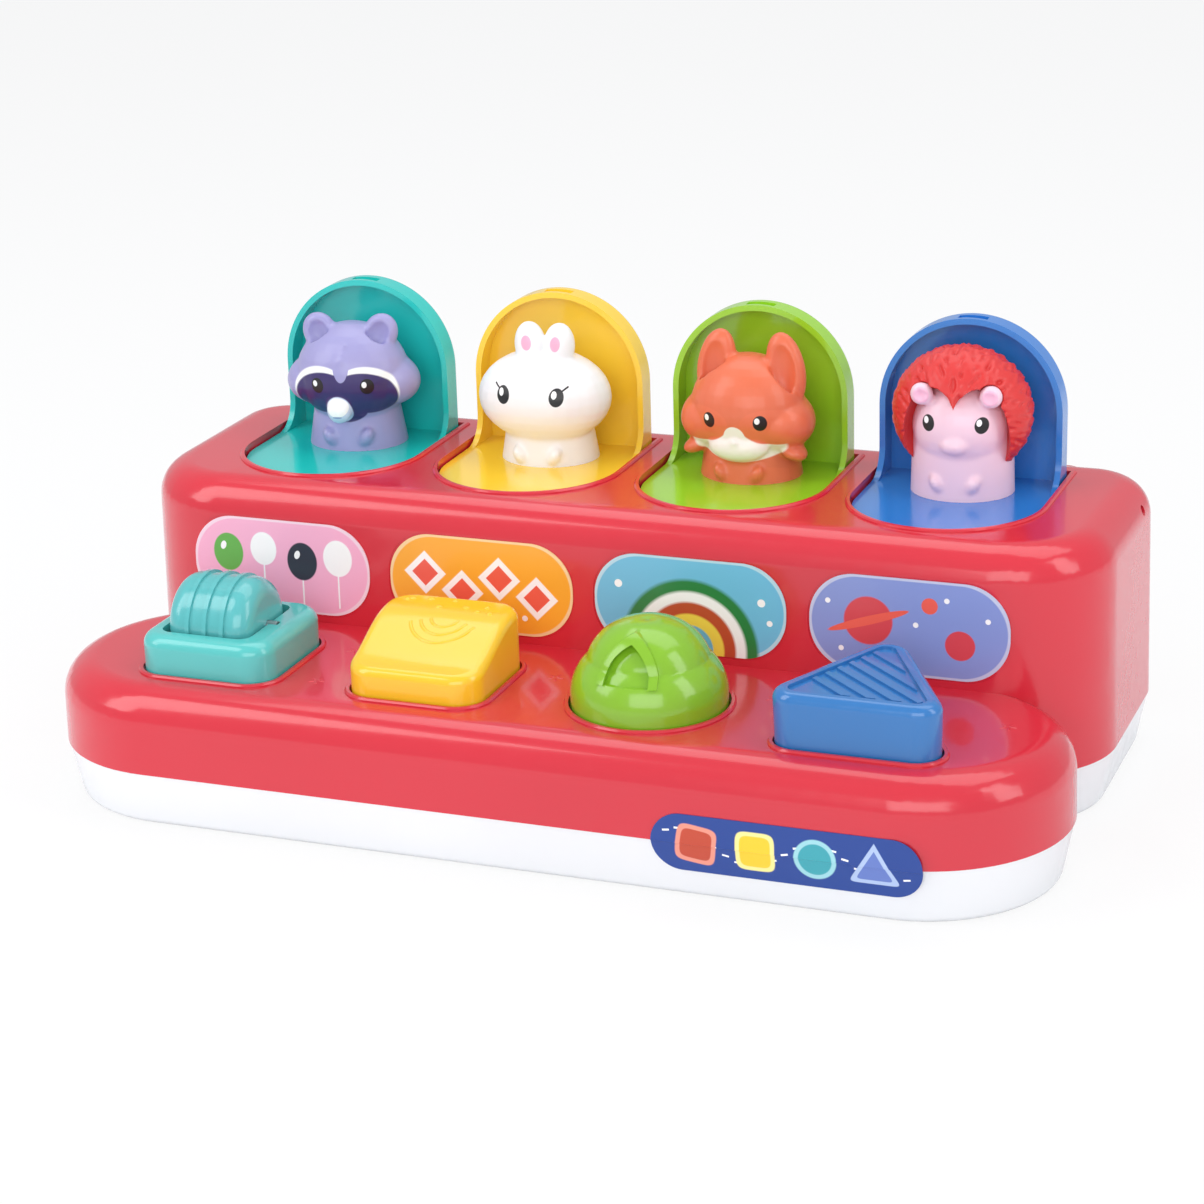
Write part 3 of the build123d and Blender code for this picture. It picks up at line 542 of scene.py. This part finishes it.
def paint(material, x, layers, y=0.0, depth=None, turn=0.0):
    """Paint layers of (colour, [(shape, x, z, rx, rz, tilt)]) over a material, about its middle."""
    tree = material.node_tree
    socket = tree.nodes["Principled BSDF"].inputs["Base Color"]
    colour = socket.links[0].from_socket
    point = face_point(tree, x, y, turn)
    limit = front_of(tree, point, depth) if depth is not None else None
    for tone, shapes in layers:
        mask = union(tree, [shape(tree, point, *sizes) for shape, *sizes in shapes])
        if limit is not None:
            mask = math(tree, "MULTIPLY", mask, limit)
        colour = mix_colour(tree, mask, colour, linear(tone))
    tree.links.new(colour, socket)


def pair(shape, x, z, rx, rz, tilt=0.0):
    return [(shape, -x, z, rx, rz, -tilt), (shape, x, z, rx, rz, tilt)]


BLACK, WHITE, DARK_PURPLE, BLUSH = (18, 16, 20), (252, 252, 252), (58, 44, 104), (244, 178, 206)
print("painted shapes ready")

# %% [markdown]
# The raccoon has a broad head with cheek points, round ears with a hollow in front, a dark mask with
# white brows, and a round white muzzle. A small tuft stands on its brow.

# %% Raccoon
def paws(x, z, spread, size):
    two_paws = []
    radii = (size * 0.7, size * 0.9, size * 1.15)
    for side in (-1, 1):
        paw = (x + side * spread, FIGURE_Y - 12.0, FLOOR_Z + z)
        two_paws.append(ball(paw, radii, (24, side * 32, 0)))
    return two_paws


x = FLAP_X[0]
RACCOON_TURN = 10
parts = [foot(x, 16.2, 13.4, 14)]
parts.append(ball((x, FIGURE_Y - 3, FLOOR_Z + 23.2), (18.0, 15.3, 16.2)))
for side in (-1, 1):
    cheek = (x + side * 8.4, FIGURE_Y - 2.5, FLOOR_Z + 21.4)
    parts.append(ball(cheek, (13.2, 11.4, 9.0), (0, side * 8, 0)))
    ear = (x + side * 9.9, FIGURE_Y - 3.5, FLOOR_Z + 36.2)
    parts.append(ball(ear, (5.5, 3.4, 6.3), (0, side * 22, 0)))
parts.append(ball((x - 1.4, FIGURE_Y - 16.2, FLOOR_Z + 14.2), (4.0, 3.6, 4.4)))
for step in range(3):
    hair = (x + 0.3 * step, FIGURE_Y - 16.6 + 1.3 * step, FLOOR_Z + 29.6 + 2.0 * step)
    parts.append(ball(hair, (1.1, 0.9, 1.2)))
parts += paws(x, 4.2, 5.6, 3.2)
hollows = []
for side in (-1, 1):
    hollow = (x + side * 9.8, FIGURE_Y - 7.2, FLOOR_Z + 36.8)
    hollows.append(ball(hollow, (3.7, 2.6, 4.5), (0, side * 22, 0)))
raccoon = one_skin("raccoon", x, parts, hollows, turn=RACCOON_TURN)
LAVENDER = (162, 158, 206)
vinyl_lavender = plastic("vinyl_lavender", LAVENDER, gloss=(0.32, 0.42), coat=0.1, ripple=0.08, glow=0.12)
face = [
    (WHITE, pair(oval, 7.4, FLOOR_Z + 20.2, 9.6, 7.9, 12)),
    (LAVENDER, [(oval, 0, FLOOR_Z + 28.6, 2.6, 5.4, 0), (oval, 0, FLOOR_Z + 11.4, 18, 5.0, 0)]),
    (DARK_PURPLE, pair(oval, 7.0, FLOOR_Z + 19.3, 9.6, 6.9, 12) + [(oval, 0, FLOOR_Z + 14.8, 7.5, 5.6, 0)]),
    (LAVENDER, [(oval, 0, FLOOR_Z + 28.0, 2.3, 4.6, 0)]),
    (BLACK, pair(oval, 8.0, FLOOR_Z + 22.0, 2.1, 2.5)),
    # Painted highlights: small white dots in the eyes stand for the lamps' glint on the glossy eyes.
    (WHITE, [(oval, -8.8, FLOOR_Z + 22.6, 0.75, 1.0, 0), (oval, 7.2, FLOOR_Z + 22.6, 0.75, 1.0, 0)]),
    # Painted shade on the white muzzle: it is pale blue-grey round its rim and underside and white only on
    # its upper middle, and the darker blue-grey line below is painted shade in the crease under it.
    ((206, 216, 240), [(oval, -1.4, FLOOR_Z + 14.0, 4.2, 4.7, 0)]),
    (WHITE, [(oval, -1.4, FLOOR_Z + 15.4, 3.5, 2.9, 0)]),
    ((150, 164, 206), [(oval, -1.4, FLOOR_Z + 12.4, 1.5, 0.35, 0)]),
]
paint(vinyl_lavender, x, face, FIGURE_Y, FACE_DEPTH, RACCOON_TURN)
finish_piece(raccoon, vinyl_lavender, "flap_1")
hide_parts("raccoon_figure")
print("raccoon faces", len(raccoon.data.polygons))

# %% [markdown]
# The rabbit is smooth and white, with two short round ears close together, printed pink inside, and
# an eyelash at each eye.

# %% Rabbit
x = FLAP_X[1]
RABBIT_TURN = 2
RABBIT_EAR_SHIFT, RABBIT_EAR_APART = 1.0, 4.7
parts = [foot(x, 15.9, 13.4, 12)]
parts.append(ball((x, FIGURE_Y - 3.5, FLOOR_Z + 20.4), (21.2, 15.8, 14.6)))
for side in (-1, 1):
    ear = (x + RABBIT_EAR_SHIFT + side * RABBIT_EAR_APART, FIGURE_Y - 5, FLOOR_Z + 36.6)
    parts.append(ball(ear, (5.0, 4.2, 7.4), (0, side * 4, 0)))
parts += paws(x, 3.0, 5.4, 3.0)
rabbit = one_skin("rabbit", x, parts, turn=RABBIT_TURN)
vinyl_white = plastic("vinyl_white", (246, 245, 246), gloss=(0.3, 0.4), coat=0.1, ripple=0.06, glow=0.1)
inner_ears = []
for side in (-1, 1):
    middle = RABBIT_EAR_SHIFT + side * RABBIT_EAR_APART
    inner_ears.append((oval, middle, FLOOR_Z + 38.0, 1.6, 2.3, side * 6))
lashes = [(bar, side * 10.6, FLOOR_Z + 25.8, 1.5, 0.26, -side * 38) for side in (-1, 1)]
face = [
    (BLUSH, inner_ears),
    (BLACK, pair(oval, 8.6, FLOOR_Z + 23.6, 2.2, 2.8) + lashes),
    # Painted highlights: small white dots in the eyes stand for the lamps' glint on the glossy eyes.
    (WHITE, [(oval, -9.3, FLOOR_Z + 24.4, 0.8, 1.2, 0), (oval, 7.9, FLOOR_Z + 24.4, 0.8, 1.2, 0)]),
]
paint(vinyl_white, x, face, FIGURE_Y, FACE_DEPTH, RABBIT_TURN)
finish_piece(rabbit, vinyl_white, "flap_2")
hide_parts("rabbit_figure")
print("rabbit faces", len(rabbit.data.polygons))

# %% [markdown]
# The fox has tall hollow ears, cheeks that stand out, and a small snout inside a white band that runs
# from cheek to cheek like a moustache.

# %% Fox
x = FLAP_X[2]
FOX_EAR_SHIFT = 1.2
parts = [foot(x, 16.2, 14.0, 12)]
parts.append(ball((x, FIGURE_Y - 3, FLOOR_Z + 22.0), (17.6, 15.0, 16.0)))
for side in (-1, 1):
    cheek = (x + side * 9.4, FIGURE_Y - 3, FLOOR_Z + 18.4)
    parts.append(ball(cheek, (11.6, 11.6, 9.4), (0, side * 12, 0)))
    cheek_point = (x + side * 15.4, FIGURE_Y - 6, FLOOR_Z + 9.4)
    parts.append(ball(cheek_point, (4.4, 5.0, 2.4), (0, side * 24, 0)))
    ear = (x + FOX_EAR_SHIFT + side * 11.0, FIGURE_Y - 3, FLOOR_Z + 33.8)
    parts.append(ball(ear, (6.0, 3.8, 11.6), (0, -side * 11, 0)))
parts.append(ball((x, FIGURE_Y - 12.2, FLOOR_Z + 11.8), (9.4, 5.2, 5.0)))
parts.append(ball((x, FIGURE_Y - 17.0, FLOOR_Z + 13.8), (1.4, 0.9, 0.9)))
parts += paws(x, 2.8, 5.4, 3.0)
hollows = []
for side in (-1, 1):
    hollow = (x + FOX_EAR_SHIFT + side * 11.1, FIGURE_Y - 7.0, FLOOR_Z + 35.2)
    hollows.append(ball(hollow, (4.1, 2.5, 8.4), (0, -side * 11, 0)))
fox = one_skin("fox", x, parts, hollows)
FOX_ORANGE, CREAM = (230, 114, 78), (246, 234, 228)
vinyl_orange = plastic("vinyl_orange", FOX_ORANGE, gloss=(0.32, 0.42), coat=0.1, ripple=0.08, glow=0.12)
inner_ears = []
for side in (-1, 1):
    inner_ears.append((oval, FOX_EAR_SHIFT + side * 10.4, FLOOR_Z + 39.4, 2.9, 4.6, -side * 11))
face = [
    ((222, 92, 68), inner_ears),
    (CREAM, [(oval, 0, FLOOR_Z + 12.6, 14.9, 5.6, 0)]),
    (FOX_ORANGE, pair(oval, 11.0, FLOOR_Z + 18.5, 9.2, 5.6, 6)),
    (CREAM, [(oval, 0, FLOOR_Z + 15.0, 3.4, 3.9, 0)]),
    (FOX_ORANGE, [(oval, 0, FLOOR_Z + 1.2, 17.0, 4.6, 0)]),
    (BLACK, pair(oval, 8.0, FLOOR_Z + 20.2, 2.0, 2.4)),
    # Painted highlights: small white dots in the eyes stand for the lamps' glint on the glossy eyes.
    (WHITE, [(oval, -8.8, FLOOR_Z + 20.9, 0.75, 1.0, 0), (oval, 7.2, FLOOR_Z + 20.9, 0.75, 1.0, 0)]),
]
paint(vinyl_orange, x, face, FIGURE_Y, FACE_DEPTH)
finish_piece(fox, vinyl_orange, "flap_3")
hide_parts("fox_figure")
print("fox faces", len(fox.data.polygons))

# %% [markdown]
# The hedgehog has a plain pink face and body. Its coat of spines is a separate red cap behind the
# face, cut in wavy tufts that come to a point on the forehead.

# %% Hedgehog face and body
x = FLAP_X[3]
HEDGEHOG_TURN = 4
EAR_APART, EAR_RISE = 10.2, 32.0
parts = [foot(x, 15.6, 14.9, 21)]
parts.append(ball((x, FIGURE_Y - 3, FLOOR_Z + 21.0), (14.5, 12.8, 14.2)))
parts.append(ball((x, FIGURE_Y - 13.4, FLOOR_Z + 17.4), (4.6, 3.8, 3.0)))
for side in (-1, 1):
    parts.append(ball((x + side * EAR_APART, FIGURE_Y - 11.6, FLOOR_Z + EAR_RISE), (3.5, 2.4, 3.5)))
parts += paws(x, 4.8, 5.2, 2.9)
hollows = []
for side in (-1, 1):
    hollows.append(ball((x + side * EAR_APART, FIGURE_Y - 14.1, FLOOR_Z + EAR_RISE), (2.2, 1.1, 2.2)))
hedgehog = one_skin("hedgehog", x, parts, hollows, turn=HEDGEHOG_TURN)
vinyl_pink = plastic("vinyl_pink", (246, 208, 222), gloss=(0.32, 0.42), coat=0.1, ripple=0.06, glow=0.12)
face = [
    ((248, 190, 214), pair(oval, EAR_APART, FLOOR_Z + EAR_RISE, 2.4, 2.4)),
    (BLACK, pair(oval, 7.9, FLOOR_Z + 23.7, 1.95, 2.4)),
    # Painted highlights: small white dots in the eyes stand for the lamps' glint on the glossy eyes.
    (WHITE, [(oval, -8.6, FLOOR_Z + 24.5, 0.75, 1.0, 0), (oval, 7.2, FLOOR_Z + 24.5, 0.75, 1.0, 0)]),
]
paint(vinyl_pink, x, face, FIGURE_Y, FACE_DEPTH, HEDGEHOG_TURN)
finish_piece(hedgehog, vinyl_pink, "flap_4")
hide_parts("hedgehog_figure")
print("hedgehog faces", len(hedgehog.data.polygons))

# %% [markdown]
# A tuft is a thin drop. The tufts stand in rings round the head, each ring turned against the last and
# swaying from side to side, and then the tufts and the cap become one skin. Two rooms cut side by
# side for the face leave a small peak of hair between them, and two small ones make place for the ears.

# %% Hedgehog spines
head = Vector((x, FIGURE_Y - 1.5, FLOOR_Z + 24.4))
cap_radii = (19.8, 14.6, 18.8)
RINGS, FIRST_RING, RING_STEP = 17, 14, 8.5
FEWEST, MOST = 6, 48
LOWEST_TUFT, BACK_Y = 4, 58.5
SWAY = 0.35
parts = [ball(head, cap_radii)]
tufts = 0
for ring in range(RINGS):
    lean = radians(FIRST_RING + RING_STEP * ring)
    count = max(FEWEST, round(MOST * sin(lean)))
    for step in range(count):
        angle = 2 * pi * (step + 0.5 * (ring % 2)) / count
        out = Vector((sin(lean) * cos(angle), -cos(lean), sin(lean) * sin(angle)))
        place = head + Vector(tuple(a * b for a, b in zip(out, cap_radii))) + out * 0.3
        if place.z < FLOOR_Z + LOWEST_TUFT or place.y > BACK_Y:
            continue
        along = (Vector((0, 1, 0)) - out * out.y).normalized() + out * 0.12
        sway = SWAY * sin(2.3 * step + 1.7 * ring)
        along = (along + out.cross(along) * sway).normalized()
        tuft = ball((0, 0, 0), (0.8, 0.75, 4.4), fine=10)
        stand = along.to_track_quat("Z", "Y").to_matrix().to_4x4()
        tuft.matrix_world = Matrix.Translation(place * MM) @ stand
        select_only(tuft)
        bpy.ops.object.transform_apply(location=True, rotation=True, scale=True)
        parts.append(tuft)
        tufts += 1
rooms = []
for side in (-1, 1):
    rooms.append(ball((x + side * 6.6, FIGURE_Y - 13.0, FLOOR_Z + 17.6), (9.4, 13.5, 17.0)))
for side in (-1, 1):
    rooms.append(ball((x + side * EAR_APART, FIGURE_Y - 13.0, FLOOR_Z + EAR_RISE), (3.9, 4.4, 3.9)))
spines = one_skin("spines", x, parts, rooms, voxel=0.36, rounds=1, turn=HEDGEHOG_TURN)
vinyl_red = plastic("vinyl_red", (218, 52, 50), gloss=(0.34, 0.46), coat=0.05, ripple=0.3, glow=0.08)
finish_piece(spines, vinyl_red, "flap_4")
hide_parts("hedgehog_spines")
print("tufts", tufts, "faces", len(spines.data.polygons))

# %% [markdown]
# Each label is thin printed film. Its print is painted by the material like the faces: a coloured
# field inside a thin paler edge, and a few plain shapes. The designs are balloons, diamonds, a
# rainbow and planets, one set for each label, in bright nursery colours.

# %% Printed labels
LABEL_Z = 59.0
HALF_LONG, HALF_HIGH, EDGE = 29.5, 14.5, 0.7
LEAF_GREEN, DEEP_GREEN, SUN = (96, 176, 72), (40, 128, 66), (252, 222, 84)
CORAL, NIGHT, SKY = (236, 96, 78), (54, 52, 66), (112, 190, 224)


def mixed(first, second, share):
    return tuple(a + share * (b - a) for a, b in zip(first, second))


def printed(name, ground):
    return plastic(name, ground, gloss=(0.29, 0.32), coat=0.2, ripple=0.0)


def balloon(x, z, size):
    return (oval, x, LABEL_Z + z, size, size * 1.2, 0)


def string(x, z):
    return (bar, x, LABEL_Z + z, 0.25, 6, 0)


def diamonds(size):
    return [(bar, x, LABEL_Z + 2.5 * (-1) ** k, size, size, 45) for k, x in enumerate((-18, -6, 6, 18))]


def disc(x, z, radius):
    return (oval, x, LABEL_Z + z, radius, radius, 0)


designs = {
    "label_1": ((247, 178, 208), [
        (WHITE, [string(-18, -8), string(-6, -6), string(7, -8), string(19, -6)]),
        (LEAF_GREEN, [balloon(-18, 3, 5.0)]),
        (WHITE, [balloon(-6, 5, 4.4), balloon(19, 4, 4.8)]),
        (NIGHT, [balloon(7, 2, 5.0)]),
        (WHITE, [(oval, -19.6, LABEL_Z + 5, 0.9, 1.4, 20), (oval, 5.4, LABEL_Z + 4, 0.9, 1.4, 20)]),
    ]),
    "label_2": ((248, 172, 52), [
        (WHITE, diamonds(4.8)),
        (CORAL, diamonds(3.0)),
        (WHITE, [disc(x, -9, 0.9) for x in (-14, -7, 0, 7, 14)]),
    ]),
    "label_3": (SKY, [
        (DEEP_GREEN, [disc(0, -13, 21)]),
        (WHITE, [disc(0, -13, 17.4)]),
        ((196, 78, 50), [disc(0, -13, 14.2)]),
        (SUN, [disc(0, -13, 10.6)]),
        (SKY, [disc(0, -13, 7.2)]),
        (WHITE, [disc(22, 3, 1.2), disc(-22, 5, 1.2), disc(24.5, -3, 0.9)]),
    ]),
    "label_4": ((134, 152, 212), [
        ((214, 70, 78), [disc(-12, 1, 7.2), disc(15, -4, 4.4)]),
        (CORAL, [(oval, -12, LABEL_Z + 1, 12.5, 1.3, -18), disc(6, 7, 2.4)]),
        (WHITE, [disc(x, z, 0.8) for x, z in ((-24, 6), (-1, -8), (11, 9), (23, 4), (2, 1), (-20, -8))]),
    ]),
}
for index, (slot, (ground, layers)) in enumerate(designs.items()):
    sheet = printed(slot + "_print", mixed(ground, WHITE, 0.55))
    field = (ground, [(film, 0, LABEL_Z, HALF_LONG - EDGE, HALF_HIGH - EDGE, 0)])
    paint(sheet, FLAP_X[index], [field] + layers)
    finish[slot] = sheet
print("labels", len(designs))

# %% [markdown]
# The front label is blue, with one plain shape for each button: a rounded square, a square, a disc
# and a triangle, each with a paler border. A dashed line winds behind them.

# %% Front label
FRONT_X, FRONT_Z = 84.5, 17.0
sheet = printed("front_print", (24, 66, 150))
dashes = []
for k in range(21):
    wave = 0.9 + 0.55 * k
    dashes.append((bar, -34 + 3.4 * k, FRONT_Z + 4.6 * sin(wave), 1.0, 0.28, -12 * cos(wave)))
paint(sheet, FRONT_X, [
    (WHITE, dashes),
    ((238, 150, 130), [(tile, -25.5, FRONT_Z, 5.8, 5.8, 8)]),
    ((196, 70, 42), [(tile, -25.5, FRONT_Z, 4.5, 4.5, 8)]),
    ((250, 236, 150), [(tile, -8.5, FRONT_Z, 5.6, 5.9, 0)]),
    ((244, 206, 40), [(tile, -8.5, FRONT_Z, 4.4, 4.7, 0)]),
    ((158, 214, 222), [(oval, 8.5, FRONT_Z, 6.0, 6.0, 0)]),
    ((56, 164, 176), [(oval, 8.5, FRONT_Z, 4.7, 4.7, 0)]),
    ((176, 196, 232), [(peak, 25, FRONT_Z - 1.2, 4.3, 4.1, 0)]),
    ((100, 124, 196), [(peak, 25, FRONT_Z - 1.2, 3.1, 2.95, 0)]),
])
finish["label_front"] = sheet
print("front label ready")

# %% [markdown]
# The yellow button is a little pond of raised marks: three ripples and a scatter of drops. The deck
# has small raised flowers between the buttons. Each mark is made of small beads that are sunk in the
# surface below them and joined in one skin, because a ray finds the surface at any place.

# %% Raised marks
ABOVE_ALL = 200
PETALS, PETAL_BEADS = 5, (1.0, 1.6, 2.2)


def on_top(node, x, y):
    """The height of the surface at a place, or None where there is no surface."""
    solid = bpy.data.objects["smooth_" + node]
    found, point, _, _ = solid.ray_cast(Vector((x, y, ABOVE_ALL)) * MM, Vector((0, 0, -1)))
    return point.z / MM if found else None


def beads(name, node, spots, size, sink, material, body):
    marks = []
    for spot in spots:
        height = on_top(node, *spot)
        if height is not None:
            marks.append(ball((*spot, height - sink), (size, size, size), fine=12))
    select_only(*marks)
    bpy.ops.object.join()
    piece = bpy.context.active_object
    piece.name = name
    apply_modifier(piece, "REMESH", mode="VOXEL", voxel_size=0.2 * MM)
    apply_modifier(piece, "SMOOTH", factor=0.5, iterations=2)
    bpy.ops.object.shade_smooth()
    finish_piece(piece, material, body)
    return piece


yellow, yellow_slot = button_finish["wedge_button"], slots["wedge_button"]
ripple_x, ripple_y = FLAP_X[1] + 2, BUTTON_Y + 5
spots = []
for radius in (4.5, 7.5, 10.5):
    steps = round(radius * 5)
    for step in range(steps + 1):
        angle = radians(200 + 140 * step / steps)
        spots.append((ripple_x + radius * cos(angle), ripple_y + radius * sin(angle)))
beads("ripples", "wedge_button", spots, 0.75, 0.45, yellow, "button_2")
drops = []
for step in range(14):
    drops.append((FLAP_X[1] + 14.5 * sin(2.4 * step), BUTTON_Y + 12.5 + 3.6 * cos(3.7 * step)))
beads("drops", "wedge_button", drops, 1.2, 0.7, yellow, "button_2")
flowers = []
for middle_x, middle_y in ((-66, -32), (-66, -58), (0, -36), (66, -34), (134, -36)):
    for petal in range(PETALS):
        angle = 2 * pi * petal / PETALS
        for reach in PETAL_BEADS:
            flowers.append((middle_x + reach * cos(angle), middle_y + reach * sin(angle)))
beads("flowers", "top_housing", flowers, 0.6, 0.4, finish["shell_red"], "housing")
print("ripples", len(spots), "drops", len(drops), "flowers", len(flowers) // (PETALS * len(PETAL_BEADS)))

# %% [markdown]
# The labels and the pieces inside the shell keep their CAD shape and only get their finish.

# %% Finishes of the labels and the inner pieces
for node, slot in slots.items():
    if slot in finish and node not in moulded:
        data = frame["nodes"][node].data
        data.materials.clear()
        data.materials.append(finish[slot])
print("labels and inner pieces done")
